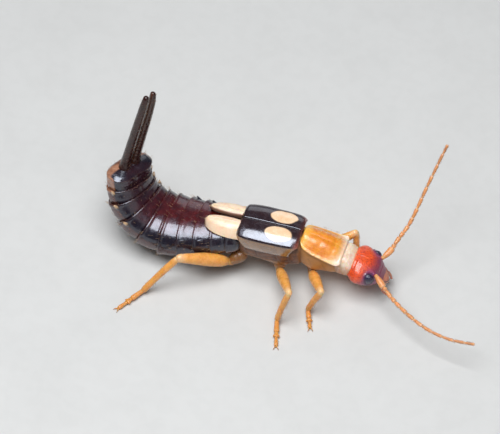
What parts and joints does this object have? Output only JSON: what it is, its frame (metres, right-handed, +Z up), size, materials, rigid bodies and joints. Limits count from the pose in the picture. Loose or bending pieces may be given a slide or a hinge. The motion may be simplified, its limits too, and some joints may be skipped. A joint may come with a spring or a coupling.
{
  "type": "earwig",
  "caption": "Life-size earwig: red head, orange thorax, dark wing cases with pale spots, glossy maroon abdomen curled up over the back, slender forceps raised",
  "frame": {"origin": "Middle of the footprint, on the level of the feet: x and y at the middle of the overall length and width, z at the floor", "axes": "+X along the body towards the head, +Y to the insect's left, +Z up"},
  "size_m": [0.0162, 0.0086, 0.0079],
  "materials": {
    "underbody": "satin",
    "neck_membrane": "satin",
    "orange_shell": "gloss",
    "red_shell": "gloss",
    "mouth_shell": "satin",
    "eye_surface": "gloss",
    "antenna_shell": "satin",
    "case_shell": "gloss",
    "wing_membrane": "satin",
    "forceps_shell": "gloss",
    "maroon_shell": "gloss",
    "leg_shell": "satin"
  },
  "bodies": {
    "root": {"thorax": "underbody", "prothorax": "underbody", "neck": "neck_membrane", "pronotum": "orange_shell", "head": "red_shell", "mouthparts": "mouth_shell", "eye_left": "eye_surface", "eye_right": "eye_surface", "antenna_left": "antenna_shell", "antenna_right": "antenna_shell", "wing_case_left": "case_shell", "wing_case_right": "case_shell", "wing_tip_left": "wing_membrane", "wing_tip_right": "wing_membrane", "forceps_left": "forceps_shell", "forceps_right": "forceps_shell", "abdomen_1": "maroon_shell", "abdomen_2": "maroon_shell", "abdomen_3": "maroon_shell", "abdomen_4": "maroon_shell", "abdomen_5": "maroon_shell", "abdomen_6": "maroon_shell", "abdomen_7": "maroon_shell", "abdomen_8": "maroon_shell", "abdomen_9": "maroon_shell", "abdomen_10": "maroon_shell", "leg_front_right": "leg_shell", "leg_middle_right": "leg_shell", "leg_hind_right": "leg_shell", "leg_front_left": "leg_shell", "leg_middle_left": "leg_shell", "leg_hind_left": "leg_shell"}
  },
  "joints": []
}
